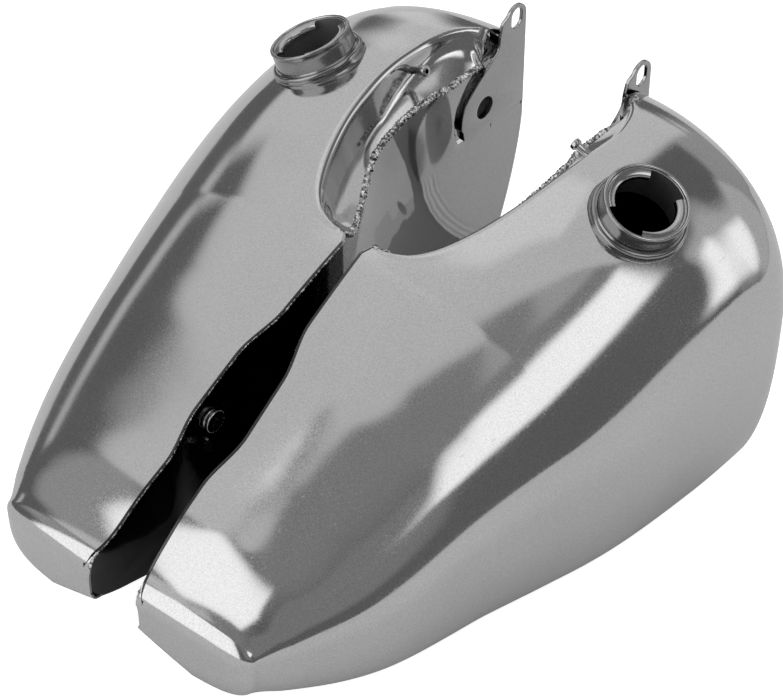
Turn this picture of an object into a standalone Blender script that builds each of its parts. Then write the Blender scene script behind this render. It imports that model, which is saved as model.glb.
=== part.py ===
"""Split pair of bare steel motorcycle fuel tanks: a left and a right half that bolt either side of a frame.

Axes: +X to the rider's right, +Y towards the front, +Z up. The origin is on the floor, under the middle of
the pair. Every size below is in millimetres; the meshes are made in metres.

Each half is a deep skin, pressed open on its inner side, closed by an upright inner wall and a floor pan.
A half is described once, for the right side, and mirrored for the left.
"""

import bmesh
import bpy
import math
from mathutils import Matrix, Vector

MM = 0.001
OBJECT_NAME = "split_fuel_tank_pair"
WELD_DISTANCE = 0.00001  # metres: points nearer than this are one
GAP = 0.3  # clearance kept between neighbouring pieces
SHEET = 1.6  # sheet steel thickness

# The skin, station by station from the tail (y, half width, top, widest level, underside, rise of the pan).
STATIONS = (
    (-260, 113, 120, 94, 55, 18),
    (-176, 161, 160, 97, 26, 28),
    (-76, 189, 213, 123, 11, 30),
    (24, 217, 252, 130, 3, 28),
    (124, 230, 273.5, 141, 0, 20),
    (184, 234, 272, 142, 2, 10),
)
CROWN_POWER = 2.3  # superellipse exponents: 2 is an ellipse, more is squarer
BELLY_POWER = 3.4
NOSE_BELLY_POWER = 2.2
CROWN_START = (1.5, 20)  # degrees of the crown taken by its first strip, beside the recess and far from it
TAIL_Y = -265
TAIL_DEPTH = 10
TAIL_INSET = 16
TAIL_CREASE = 30  # degrees of the end's roll that are missing along its top, which leaves a crease
CREASE_SPREAD = (0.45, 25)  # the crease dies away over this share of the crown, and this near the outer side
TAIL_DROP = (9, -205)  # how far the top falls towards the tail, and from where
TAIL_SWEEP = (8, 34)  # how far forward the end's outer side is swept, and the length that takes it up
NOSE_Y = 265
NOSE_START = 184
NOSE_TOP_START = 195
NOSE_TOP_DROP = 42
NOSE_SIDE_Z = 190
NOSE_CHIN_Z = 178
NOSE_PLAN_POWER = 2.1
NOSE_CHIN_POWER = 1.5

# The inner wall: a narrow gap at the back, a wide pocket for the frame's neck at the front.
GAP_X_TAIL = 20
GAP_X_END = (9, 30)  # how far the wall's end turns out, and over what length
GAP_X_FRONT = 8
RELIEF_Y = (-190, -70)
RELIEF_DEPTH = 8
JUNCTION_Y = -10
POCKET_X = 57
POCKET_SWEEP = 1.5  # how suddenly the pocket's sweep meets its flat front
POCKET_END = (132, 205, 0.0045)  # where they meet on plan, above that height, and its bow below it
POCKET_END_FLOOR = 98
BOWL_START = 80  # how long the lean takes to grow, from the junction
BOWL_LEAN = 8  # the sweep leans out at its top, most of all at BOWL_Y
BOWL_BULGE = 4.5
BOWL_Y = (85, 28)
BOWL_Z = (165, 235)
BOWL_ENDS_Y = (150, 180)
POCKET_LEAN = 4.5  # the wall leans out behind the bracket
BRACKET_THICK = 3
BRACKET_FOOT_Z = 194
BRACKET_STEP = (8, 6)  # the wall steps back behind the bracket: this far under its foot, over this height
BRACKET_LEAN_HEIGHT = 50

# The dash recess along the inner side of the top (y, depth at the wall's foot, depth at the seam, wall run).
RECESS = (
    (-3, 0, 0, 3),
    (6, 13, 12, 9),
    (18, 22, 25, 13),
    (40, 25, 34, 16),
    (66, 26, 36, 15),
    (88, 29, 33, 14),
    (110, 29, 31, 10),
    (144, 25, 29, 4.5),
    (184, 14, 26, 3.5),
    (210, 9, 26, 4),
    (221, 5, 23, 4),
    (226, 0, 1, 3),
)
RECESS_X = 87.5
RECESS_WIDEST_Y = 180
RECESS_REAR_Y = -3
RECESS_FRONT_Y = 226
RECESS_REAR_CREST = (11, 2.3)  # where the crest starts at the rear, and how full its curve is
RECESS_FRONT_CREST = (68, 1.6)
RECESS_BREAK = (0.65, 0.25)  # where the recess's side breaks: share of the run out, of the depth down

# Where the skin and the wall are both drawn, from the tail to the nose.
REAR_STOPS = (-255, -240, -220, -190, -150, -110, -70, -35, -16, -10, -3.5)
STOPS = (*REAR_STOPS, 1, 7, 18, 30, 48, 66, 88, 110, 130, 152, 175, 193)
NOSE_STOPS = (208, 220, 225.5, 233, 241, 248, 255, 260)

WALL_LEVELS = (98, 132, 162, 185.5, 192.5, 217)  # heights of the wall's rows in the pocket
WALL_ROW = 3  # the least height of a row

# The floor pan spans the underside between these two places.
PAN_REAR_Y = -230
PAN_FRONT_Y = 205
PAN_SHARE = 0.5

# The filler neck, along its own axis.
NECK_RIM = (155.6, 124, 278)
NECK_AXIS = (0.372, -0.095, 0.923)
NECK_HEIGHT = 24
NECK_RADIUS = 32
NECK_BORE = 28.5
FLANGE_RADIUS = 36
FLANGE_TOP = 8
SKIN_HOLE_RADIUS = 36.5
BAYONET_BORE = 22.5
BAYONET_DEPTH = 5
BAYONET_THICK = 3
BAYONET_NOTCH_DEGREES = 66

NIPPLE_BASE = (92, 157, 258.6)
NIPPLE_TIP = (68, 157, 267.4)
NIPPLE_RADIUS = 3
NIPPLE_BEAD_RADIUS = 4.2
NIPPLE_BORE = 1.8

EAR_CENTRE = (253, 269)  # y and z on the bracket
EAR_RADIUS = 12
EAR_SLOT = (6.5, 9)  # half width and half height
BOLT_HOLE = (215.5, 205.5, 9.5)  # y, z and radius
# The bracket's flanged rear edge (y, z), from the ear down.
BRACKET_REAR = ((233, 262), (231, 251), (219, 241), (203, 230), (192, 220), (187.5, 210), (187, 200))
FLANGE_SHEET = 2.2
FLANGE_CLEAR = 1.8

REAR_BUNG = (-138, 154)  # y and z of its centre on the inner wall
REAR_BUNG_RADIUS = 9
REAR_BUNG_BORE = 4
REAR_BUNG_STANDOFF = 5
REAR_TAB = (-146, 136)

CROSSOVER = (92, 150)  # x and y of its centre in the floor pan
PETCOCK = (80, 30)
SPIGOT_RADIUS = 8
SPIGOT_BORE = 4.5


def through(table, column, at):
    """A smooth curve through a table's rows: cubic Hermite with centred slopes."""
    rows = [(row[0], row[column]) for row in table]
    at = min(max(at, rows[0][0]), rows[-1][0])
    k = max(i for i in range(len(rows) - 1) if rows[i][0] <= at)

    def slope(i):
        low, high = max(i - 1, 0), min(i + 1, len(rows) - 1)
        return (rows[high][1] - rows[low][1]) / (rows[high][0] - rows[low][0])

    (y0, v0), (y1, v1) = rows[k], rows[k + 1]
    run = y1 - y0
    t = (at - y0) / run
    ends = (2 * t**3 - 3 * t**2 + 1) * v0 + (3 * t**2 - 2 * t**3) * v1
    return ends + run * ((t**3 - 2 * t**2 + t) * slope(k) + (t**3 - t**2) * slope(k + 1))


def rounding(share, power=2.0):
    """How far a superellipse has fallen, 0 to 1, at a share of its run."""
    share = min(max(share, 0.0), 1.0)
    return 1 - (1 - share**power) ** (1 / power)


def ease(share):
    share = min(max(share, 0.0), 1.0)
    return share * share * (3 - 2 * share)


def pocket_end(z):
    """How far forward the pocket's sweep runs at a height before it meets the flat front."""
    y, level, bow = POCKET_END
    return y + bow * max(level - max(z, POCKET_END_FLOOR), 0) ** 2


def plan_x(y, z=0):
    """The inner wall's line on plan, at its foot unless a height is given."""
    if y >= JUNCTION_Y:
        share = min((y - JUNCTION_Y) / (pocket_end(z) - JUNCTION_Y), 1)
        return GAP_X_FRONT + (POCKET_X - GAP_X_FRONT) * (1 - (1 - share) ** POCKET_SWEEP)
    share = (JUNCTION_Y - y) / (JUNCTION_Y - TAIL_Y)
    line = GAP_X_FRONT + (GAP_X_TAIL - GAP_X_FRONT) * share
    along = (y - RELIEF_Y[0]) / (RELIEF_Y[1] - RELIEF_Y[0])
    relief = RELIEF_DEPTH * ease(1.5 - abs(3 * along - 1.5)) if 0 < along < 1 else 0
    turned_out, length = GAP_X_END
    return line + relief + turned_out * rounding((TAIL_Y + length - y) / length)


def wall_x(y, z):
    """The inner wall's face: a bowl that leans out at its top, then a step and a lean behind the bracket."""
    bulge = BOWL_BULGE * math.exp(-(((y - BOWL_Y[0]) / BOWL_Y[1]) ** 2))
    height = ease((z - BOWL_Z[0]) / (BOWL_Z[1] - BOWL_Z[0]))
    bowl = ease((y - JUNCTION_Y) / BOWL_START) * (BOWL_LEAN + bulge) * height
    front = 1 - ease((y - RECESS_FRONT_Y) / (NOSE_Y - RECESS_FRONT_Y))
    below, rise = BRACKET_STEP
    step = (BRACKET_THICK + 0.5) * ease((z - BRACKET_FOOT_Z + below) / rise)
    lean = POCKET_LEAN * ease((z - BRACKET_FOOT_Z) / BRACKET_LEAN_HEIGHT) * front
    ahead = ease((y - BOWL_ENDS_Y[0]) / (BOWL_ENDS_Y[1] - BOWL_ENDS_Y[0]))
    return plan_x(y, z) + bowl * (1 - ahead) + (step + lean) * ahead


def levels(y):
    """Half width, top, widest level, underside and pan rise at one station, with the nose rounded off."""
    width, top, side, under, rise = (through(STATIONS, i, y) for i in range(1, 6))
    nose = (y - NOSE_START) / (NOSE_Y - NOSE_START)
    front_x = POCKET_X + BRACKET_THICK + 0.5
    width += (front_x - width) * rounding(nose, NOSE_PLAN_POWER)
    top -= NOSE_TOP_DROP * rounding((y - NOSE_TOP_START) / (NOSE_Y - NOSE_TOP_START))
    top -= TAIL_DROP[0] * ease((TAIL_DROP[1] - y) / (TAIL_DROP[1] - TAIL_Y))
    side += (NOSE_SIDE_Z - side) * ease(nose)
    under += (NOSE_CHIN_Z - under) * rounding(nose, NOSE_CHIN_POWER)
    return width, top, max(side, under + 2), under, rise * (1 - ease(nose * 2))


def crest_x(y):
    """The recess's outer edge on plan."""
    if y < RECESS_WIDEST_Y:
        start, power = RECESS_REAR_CREST
        share = (RECESS_WIDEST_Y - y) / (RECESS_WIDEST_Y - RECESS_REAR_Y)
    else:
        start, power = RECESS_FRONT_CREST
        share = (y - RECESS_WIDEST_Y) / (RECESS_FRONT_Y - RECESS_WIDEST_Y)
    return start + (RECESS_X - start) * (1 - rounding(share, power))


def crown(y, angle):
    """A point (x, z) on the top: angle 0 is the inner edge, 90 degrees the widest line."""
    width, top, side, _, _ = levels(y)
    start = min(wall_x(y, top), width)
    reach = math.sin(angle) ** (2 / CROWN_POWER)
    return start + (width - start) * reach, side + (top - side) * math.cos(angle) ** (2 / CROWN_POWER)


def recess_points(y):
    """The recess from the seam out to its crest, and the crown angle where the crest lies."""
    width, top, _, _, _ = levels(y)
    depth, seam, run = (through(RECESS, i, y) for i in (1, 2, 3))
    start = wall_x(y, top)
    crest = crest_x(y)
    angle = math.asin(((crest - start) / (width - start)) ** (CROWN_POWER / 2))
    crest_z = crown(y, angle)[1]
    edge = wall_x(y, crest_z - seam)
    foot = max(crest - min(run, 0.5 * (crest - edge)), edge)
    points = [
        (edge, crest_z - seam),
        ((edge + foot) / 2, crest_z - (seam + depth) / 2),
        (foot, crest_z - depth),
        (foot + RECESS_BREAK[0] * (crest - foot), crest_z - RECESS_BREAK[1] * depth),
    ]
    return points, angle


def section(y, crown_steps=8, belly_steps=6):
    """One cross-section of the skin, from the inner top edge round to the inner bottom edge."""
    width, _, side, under, rise = levels(y)
    if RECESS_REAR_Y < y < RECESS_FRONT_Y:
        points, first = recess_points(y)
    else:
        away = max(RECESS_REAR_Y - y, y - RECESS_FRONT_Y)
        first = math.radians(CROWN_START[0] + (CROWN_START[1] - CROWN_START[0]) * ease(away / 100))
        points = [crown(y, first * i / 4) for i in range(4)]
    points += [crown(y, first + (math.pi / 2 - first) * i / crown_steps) for i in range(crown_steps)]
    inner = min(plan_x(y), width)
    turn = inner + PAN_SHARE * (width - inner)
    power = BELLY_POWER + (NOSE_BELLY_POWER - BELLY_POWER) * ease((y - NOSE_START) / (NOSE_Y - NOSE_START))
    for i in range(belly_steps + 1):
        angle = math.pi / 2 * i / belly_steps
        x = turn + (width - turn) * math.cos(angle) ** (2 / power)
        points.append((x, side + (under - side) * math.sin(angle) ** (2 / power)))
    points.append(((turn + inner) / 2, under + rise / 2))
    points.append((inner, under + rise))
    return points


def inset(points, amounts):
    """A section shrunk at its top, bottom and outer side, each point by its own amount."""
    inner, outer = points[0][0], max(x for x, _ in points)
    low, high = min(z for _, z in points), max(z for _, z in points)
    middle, half = (low + high) / 2, (high - low) / 2
    moved = []
    for (x, z), amount in zip(points, amounts):
        narrow, flat = 1 - amount / (outer - inner), 1 - amount / half
        moved.append((inner + (x - inner) * narrow, middle + (z - middle) * flat))
    return moved


def tail_ring(first, share):
    """One ring of the rolled tail, creased along its top: share 0 is its start, 1 is the end face's rim."""
    outer = max(x for x, _ in first)
    side = max(first)[1]
    top = max(z for _, z in first)
    spread, edge = CREASE_SPREAD
    ys, amounts = [], []
    for x, z in first:
        creased = ease((z - side) / (spread * (top - side))) * ease((outer - x) / edge)
        start = math.radians(TAIL_CREASE) * creased
        angle = start + (math.pi / 2 - start) * share
        amounts.append(TAIL_INSET * (math.cos(start) - math.cos(angle)) / math.cos(start))
        ys.append(TAIL_Y + TAIL_DEPTH * (1 - (math.sin(angle) - math.sin(start)) / (1 - math.sin(start))))
    return [(x, y, z) for (x, z), y in zip(inset(first, amounts), ys)]


def swept(ring, inner, outer):
    """A ring near the tail with its outer side moved forward, so that the end turns its corner on plan."""
    reach, length = TAIL_SWEEP
    moved = []
    for x, y, z in ring:
        share = min(max((x - inner) / (outer - inner), 0), 1)
        moved.append((x, y + reach * share**2 * max(1 - (y - TAIL_Y) / length, 0), z))
    return moved


def skin_rings():
    """Rings of (x, y, z) from the middle of the tail face to the front edge."""
    first = section(TAIL_Y + TAIL_DEPTH)
    rim = tail_ring(first, 1)
    inner, _, floor = rim[-1]
    spine = [(inner + (x - inner) * 0.02, TAIL_Y, max(z, floor + 1)) for x, _, z in rim]
    rings = [spine, [((a[0] + b[0]) / 2, TAIL_Y, (a[2] + b[2]) / 2) for a, b in zip(spine, rim)]]
    rings += [tail_ring(first, share) for share in (1, 0.75, 0.5, 0.25)]
    stops = (*STOPS, *NOSE_STOPS, 263.4, NOSE_Y)
    for y in stops:
        rings.append([(x, y, z) for x, z in section(y)])
    outer = max(x for x, _ in first)
    return [swept(ring, inner, outer) for ring in rings]


def material(name, colour, roughness, metallic=1.0):
    made = bpy.data.materials.get(name) or bpy.data.materials.new(name)
    made.use_nodes = True
    shader = made.node_tree.nodes["Principled BSDF"]
    shader.inputs["Base Color"].default_value = (*colour, 1)
    shader.inputs["Roughness"].default_value = roughness
    shader.inputs["Metallic"].default_value = metallic
    return made


def skin_steel():
    return material("skin_steel", (0.46, 0.46, 0.46), 0.28)


def wall_steel():
    return material("wall_steel", (0.4, 0.4, 0.4), 0.2)


def machined_steel():
    return material("machined_steel", (0.5, 0.5, 0.5), 0.32)


def weld_metal():
    return material("weld_metal", (0.35, 0.34, 0.33), 0.4)


def place(made, body, coat):
    """Puts an object in the parts collection, on its body, with its own material."""
    parts = bpy.data.collections[OBJECT_NAME]
    for holder in list(made.users_collection):
        holder.objects.unlink(made)
    parts.objects.link(made)
    made.data.materials.clear()
    made.data.materials.append(coat)
    made.parent = body
    made.matrix_parent_inverse = body.matrix_world.inverted()
    return made


def weld_points(mesh):
    """Joins points that lie together."""
    shape = bmesh.new()
    shape.from_mesh(mesh)
    bmesh.ops.remove_doubles(shape, verts=shape.verts, dist=WELD_DISTANCE)
    shape.to_mesh(mesh)
    shape.free()


def mesh_piece(name, points, faces, side):
    """A mesh object from points in millimetres, given for the right side and mirrored for the left."""
    mesh = bpy.data.meshes.new(name)
    placed = [(side * x * MM, y * MM, z * MM) for x, y, z in points]
    turned = [tuple(reversed(face)) for face in faces] if side < 0 else faces
    mesh.from_pydata(placed, [], turned)
    weld_points(mesh)
    made = bpy.data.objects.new(name, mesh)
    bpy.context.scene.collection.objects.link(made)
    mesh.shade_smooth()
    mesh.set_sharp_from_angle(angle=math.radians(35))
    return made


def grid_faces(rows, columns, wanted=lambda row, column: True):
    faces = []
    for i in range(rows - 1):
        for j in range(columns - 1):
            if wanted(i, j):
                a = i * columns + j
                faces.append((a, a + 1, a + columns + 1, a + columns))
    return faces


def thicken(made, thickness, outward=False):
    solid = made.modifiers.new("Solidify", "SOLIDIFY")
    solid.thickness = thickness * MM
    solid.offset = 1 if outward else -1
    return solid


def cutter(name, made):
    """Keeps a cutting body out of the parts."""
    made.name = name
    for holder in list(made.users_collection):
        holder.objects.unlink(made)
    bpy.data.collections[OBJECT_NAME + "_cutters"].objects.link(made)
    made.hide_render = True
    made.display_type = "WIRE"
    return made


def cut(made, tool, operation="DIFFERENCE"):
    boolean = made.modifiers.new(operation.title(), "BOOLEAN")
    boolean.operation = operation
    boolean.object = tool
    return boolean


def rod(radius, low, high, frame, segments=32):
    """A cylinder along a frame's own Z, between two heights, in millimetres."""
    bpy.ops.mesh.primitive_cylinder_add(vertices=segments, radius=radius * MM, depth=(high - low) * MM)
    made = bpy.context.object
    made.matrix_world = frame @ Matrix.Translation((0, 0, (low + high) / 2 * MM))
    return made


def turned(name, profile, frame, segments):
    """A turned piece: a closed profile of (radius, height) in millimetres, run down its outer side."""
    mesh = bpy.data.meshes.new(name)
    count = len(profile)
    edges = [(i, (i + 1) % count) for i in range(count)]
    mesh.from_pydata([(r * MM, 0, h * MM) for r, h in profile], edges, [])
    made = bpy.data.objects.new(name, mesh)
    bpy.context.scene.collection.objects.link(made)
    made.matrix_world = frame
    screw = made.modifiers.new("Screw", "SCREW")
    screw.steps = segments
    screw.render_steps = segments
    screw.use_merge_vertices = True
    screw.merge_threshold = 0.0001 * MM
    screw.use_smooth_shade = True
    return made


def frame_along(origin, axis, side, forward=(0, 1, 0)):
    """A frame whose Z lies along an axis, both given in millimetres for the right side."""
    z = Vector((side * axis[0], axis[1], axis[2])).normalized()
    x = Vector(forward).cross(z).normalized()
    made = Matrix((x, z.cross(x), z)).transposed().to_4x4()
    made.translation = Vector((side * origin[0], origin[1], origin[2])) * MM
    return made


def neck_frame(side):
    """Z up the filler neck, from the point where its axis meets the skin."""
    axis = Vector(NECK_AXIS).normalized()
    return frame_along(Vector(NECK_RIM) - axis * NECK_HEIGHT, axis, side)


def nipple_frame(side):
    return frame_along(NIPPLE_BASE, Vector(NIPPLE_TIP) - Vector(NIPPLE_BASE), side)


def bung_frame(side):
    y, z = REAR_BUNG
    return frame_along((wall_x(y, z), y, z), (-1, 0, 0), side)


def spigot_frame(place_xy, side):
    """Z pointing down out of the floor pan."""
    x, y = place_xy
    _, _, _, under, _ = levels(y)
    return frame_along((x, y, under), (0, 0, -1), side)


def pan_height(x, y):
    width, _, _, under, rise = levels(y)
    inner = plan_x(y)
    turn = inner + PAN_SHARE * (width - inner)
    return under + rise * min(max((turn - x) / (turn - inner), 0), 1)


def outer_shell(name, side, body):
    rings = skin_rings()
    columns = len(rings[0])
    rear = next(i for i, ring in enumerate(rings) if ring[0][1] > PAN_REAR_Y)
    front = max(i for i, ring in enumerate(rings) if ring[0][1] < PAN_FRONT_Y)

    def kept(i, j):
        return j < columns - 3 or not rear <= i < front

    points = [point for ring in rings for point in ring]
    made = mesh_piece(name, points, grid_faces(len(rings), columns, kept), side)
    thicken(made, SHEET)
    cut(made, cutter(name + "_neck_hole", rod(SKIN_HOLE_RADIUS, -30, 30, neck_frame(side))))
    nipple_hole = rod(NIPPLE_RADIUS + GAP, -14, 40, nipple_frame(side), 16)
    cut(made, cutter(name + "_nipple_hole", nipple_hole))
    return place(made, body, skin_steel())


def floor_pan(name, side, body):
    rings = skin_rings()
    stops = [ring[0][1] for ring in rings if PAN_REAR_Y < ring[0][1] < PAN_FRONT_Y]
    ends = (stops[0] + 2 * GAP, stops[-1] - 4 * GAP)
    stops = [ends[0], *stops[1:-1], ends[1]]
    points = []
    for y in stops:
        width, _, _, _, _ = levels(y)
        inner = plan_x(y)
        turn = inner + PAN_SHARE * (width - inner) - 4 * GAP
        for share in (0, 0.5, 1):
            x = inner + share * (turn - inner)
            points.append((x, y, pan_height(x, y)))
    faces = [tuple(reversed(face)) for face in grid_faces(len(stops), 3)]
    made = mesh_piece(name, points, faces, side)
    thicken(made, SHEET)
    return place(made, body, wall_steel())


def edge_line(index):
    """The skin's inner edge, top (0) or bottom (-1), pulled in to clear the sheet, from tail to nose."""
    rings = skin_rings()
    line = [Vector((ring[index][1], ring[index][2])) for ring in rings]
    clear = SHEET + 2 * GAP
    moved = []
    for i, point in enumerate(line):
        along = line[min(i + 1, len(line) - 1)] - line[max(i - 1, 0)]
        along = along.normalized() if along.length > 1e-6 else Vector((1, 0))
        across = Vector((along.y, -along.x)) if index == 0 else Vector((-along.y, along.x))
        moved.append(point + across * clear)
    return moved


def read_line(line, y):
    """Height of a polyline at y; it runs towards +Y."""
    for a, b in zip(line, line[1:]):
        if a.x <= y <= b.x and b.x - a.x > 1e-6:
            return a.y + (b.y - a.y) * (y - a.x) / (b.x - a.x)
    return line[0].y if y < line[0].x else line[-1].y


def inner_wall(name, side, body):
    top, bottom = edge_line(0), edge_line(-1)
    first, last = TAIL_Y + SHEET + 2 * GAP, NOSE_Y - SHEET - 2 * GAP
    stops = [first, first + 3, *STOPS, *NOSE_STOPS[:-1], 259, last]
    points = []
    for y in stops:
        high, low = read_line(top, y), read_line(bottom, y)
        if y > JUNCTION_Y:
            marks = [low]
            for rank, mark in enumerate(WALL_LEVELS):
                clear = (rank + 1) * WALL_ROW
                above = (len(WALL_LEVELS) + 1) * WALL_ROW - clear
                marks.append(min(max(mark, low + clear), high - above))
            marks.append(high)
        else:
            marks = [low + (high - low) * i / (len(WALL_LEVELS) + 1) for i in range(len(WALL_LEVELS) + 2)]
        points += [(wall_x(y, z), y, z) for z in marks]
    made = mesh_piece(name, points, grid_faces(len(stops), len(WALL_LEVELS) + 2), side)
    thicken(made, SHEET)
    cut(made, cutter(name + "_bung_hole", rod(REAR_BUNG_RADIUS - 2 + GAP, -12, 12, bung_frame(side), 24)))
    return place(made, body, wall_steel())


def filler_flange(name, side, body):
    inner = NECK_RADIUS + GAP
    top = FLANGE_TOP
    profile = [
        (inner, top),
        (FLANGE_RADIUS - 1.5, top),
        (FLANGE_RADIUS, top - 1.5),
        (FLANGE_RADIUS, -6),
        (inner, -6),
    ]
    return place(turned(name, profile, neck_frame(side), 36), body, machined_steel())


def filler_collar(name, side, body):
    top = NECK_HEIGHT
    profile = [
        (NECK_BORE + 0.5, top),
        (NECK_RADIUS - 0.8, top),
        (NECK_RADIUS, top - 0.8),
        (NECK_RADIUS, -9),
        (NECK_BORE, -9),
        (NECK_BORE, top - 1),
    ]
    return place(turned(name, profile, neck_frame(side), 36), body, machined_steel())


def bayonet_ring(name, side, body):
    """The inner lip that a cap's two ears turn under, with a notch at the front and one at the back."""
    top = NECK_HEIGHT - BAYONET_DEPTH
    frame = neck_frame(side)
    profile = [
        (BAYONET_BORE, top),
        (NECK_BORE - GAP, top),
        (NECK_BORE - GAP, top - BAYONET_THICK),
        (BAYONET_BORE, top - BAYONET_THICK),
    ]
    made = turned(name, profile, frame, 48)
    half = math.radians(BAYONET_NOTCH_DEGREES / 2)
    for index, way in enumerate((90, -90)):
        reach, deep = NECK_BORE - 2.5, NECK_BORE - 14
        notch = bpy.data.meshes.new(name + "_notch")
        arc = [math.radians(way) + half * (2 * i / 8 - 1) for i in range(9)]
        outline = [(reach * math.cos(a), reach * math.sin(a)) for a in arc]
        outline += [(deep * math.cos(a), deep * math.sin(a)) for a in (arc[-1], arc[0])]
        shape = bmesh.new()
        low = [shape.verts.new((x * MM, y * MM, (top - 9) * MM)) for x, y in outline]
        face = shape.faces.new(low)
        raised = bmesh.ops.extrude_face_region(shape, geom=[face])["geom"]
        moved = [item for item in raised if isinstance(item, bmesh.types.BMVert)]
        bmesh.ops.translate(shape, verts=moved, vec=(0, 0, 14 * MM))
        bmesh.ops.recalc_face_normals(shape, faces=shape.faces)
        shape.to_mesh(notch)
        shape.free()
        tool = bpy.data.objects.new(name + "_notch", notch)
        bpy.context.scene.collection.objects.link(tool)
        tool.matrix_world = frame
        cut(made, cutter(f"{name}_notch_{index}", tool))
    return place(made, body, machined_steel())


def vent_nipple(name, side, body):
    """A short tube with a beaded end that carries a vent hose."""
    tube, bead, bore = NIPPLE_RADIUS, NIPPLE_BEAD_RADIUS, NIPPLE_BORE
    length = (Vector(NIPPLE_TIP) - Vector(NIPPLE_BASE)).length
    profile = [
        (bore, length),
        (bead - 1, length),
        (bead, length - 1.2),
        (bead, length - 3.4),
        (tube, length - 5),
        (tube, -6),
        (bore, -6),
    ]
    return place(turned(name, profile, nipple_frame(side), 16), body, machined_steel())


def rear_bung(name, side, body):
    """The internally threaded boss that a frame bolt screws into, standing proud of the inner wall."""
    radius, bore, proud = REAR_BUNG_RADIUS, REAR_BUNG_BORE, REAR_BUNG_STANDOFF
    shank = radius - 2
    lifted = 2
    profile = [
        (bore, proud),
        (radius - 1, proud),
        (radius, proud - 1),
        (radius, lifted),
        (shank, lifted),
        (shank, -12),
        (bore, -12),
    ]
    return place(turned(name, profile, bung_frame(side), 24), body, machined_steel())


def flat_outline(name, loops, thickness, frame):
    """A flat plate with holes, from closed loops of (x, y) in millimetres, made a welded mesh."""
    curve = bpy.data.curves.new(name, "CURVE")
    curve.dimensions = "2D"
    curve.fill_mode = "BOTH"
    curve.extrude = thickness / 2 * MM
    for loop in loops:
        spline = curve.splines.new("POLY")
        spline.points.add(len(loop) - 1)
        for point, (x, y) in zip(spline.points, loop):
            point.co = (x * MM, y * MM, 0, 1)
        spline.use_cyclic_u = True
    drawn = bpy.data.objects.new(name + "_outline", curve)
    bpy.context.scene.collection.objects.link(drawn)
    drawn.matrix_world = frame
    bpy.context.view_layer.update()
    graph = bpy.context.evaluated_depsgraph_get()
    mesh = bpy.data.meshes.new_from_object(drawn.evaluated_get(graph))
    shape = bmesh.new()
    shape.from_mesh(mesh)
    bmesh.ops.remove_doubles(shape, verts=shape.verts, dist=0.00001)
    bmesh.ops.recalc_face_normals(shape, faces=shape.faces)
    shape.to_mesh(mesh)
    shape.free()
    made = bpy.data.objects.new(name, mesh)
    bpy.context.scene.collection.objects.link(made)
    made.matrix_world = drawn.matrix_world
    bpy.data.objects.remove(drawn)
    return made


def arc_points(centre, radius, start, end, steps):
    angles = [math.radians(start + (end - start) * i / steps) for i in range(steps + 1)]
    return [(centre[0] + radius * math.cos(a), centre[1] + radius * math.sin(a)) for a in angles]


def bracket_flange(name, side):
    """The plate's rear edge, bent back to the wall: a tapering strip lofted down that edge."""
    line = [Vector(point) for point in BRACKET_REAR]
    near = POCKET_X + BRACKET_THICK / 2
    points = []
    for i, outer in enumerate(line):
        along = (line[min(i + 1, len(line) - 1)] - line[max(i - 1, 0)]).normalized()
        inner = outer + Vector((-along.y, along.x)) * FLANGE_SHEET
        far = min(wall_x(*outer), wall_x(*inner)) - FLANGE_CLEAR
        points += [(x, y, z) for x, (y, z) in ((near, outer), (far, outer), (far, inner), (near, inner))]
    faces = [(0, 1, 2, 3)]
    for i in range(len(line) - 1):
        for j in range(4):
            a, b = 4 * i + j, 4 * i + (j + 1) % 4
            faces.append((a, a + 4, b + 4, b))
    last = 4 * (len(line) - 1)
    faces.append((last + 3, last + 2, last + 1, last))
    return mesh_piece(name, points, faces, side)


def front_bracket(name, side, body):
    """The bolted ear: a flat plate on the pocket wall whose rounded top stands above the skin."""
    outline = arc_points(EAR_CENTRE, EAR_RADIUS, 0, 150, 8)
    outline += [*BRACKET_REAR, (190, 194)]
    outline += [(NOSE_Y - 1, 194), (NOSE_Y, 200)]
    (hole_y, hole_z), (half_wide, half_tall) = EAR_CENTRE, EAR_SLOT
    reach = half_tall - half_wide
    slot = arc_points((hole_y, hole_z + reach), half_wide, 0, 180, 6)
    slot += arc_points((hole_y, hole_z - reach), half_wide, 180, 360, 6)
    y, z, radius = BOLT_HOLE
    bolt = arc_points((y, z), radius, 0, 345, 23)
    frame = Matrix(((0, 0, 1), (1, 0, 0), (0, 1, 0))).to_4x4()
    frame.translation = Vector((side * (POCKET_X + BRACKET_THICK / 2) * MM, 0, 0))
    plate = flat_outline(name, [outline, slot, bolt], BRACKET_THICK, frame)
    cut(plate, cutter(name + "_flange", bracket_flange(name + "_flange", side)), "UNION")
    return place(plate, body, wall_steel())


def rear_tab(name, side, body):
    """A small welded clip below the rear bung, for a hose or wire."""
    y, z = REAR_TAB
    frame = Matrix(((1, 0, 0), (0, 0, 1), (0, 1, 0))).to_4x4()
    x = wall_x(y, z)
    frame.translation = Vector((side * (x - GAP) * MM, y * MM, z * MM))
    reach = side
    outline = [(0, -7), (0, 7), (-4 * reach, 5.5), (-7 * reach, 2), (-7 * reach, -2), (-4 * reach, -5.5)]
    return place(flat_outline(name, [outline], 2, frame), body, wall_steel())


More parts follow.
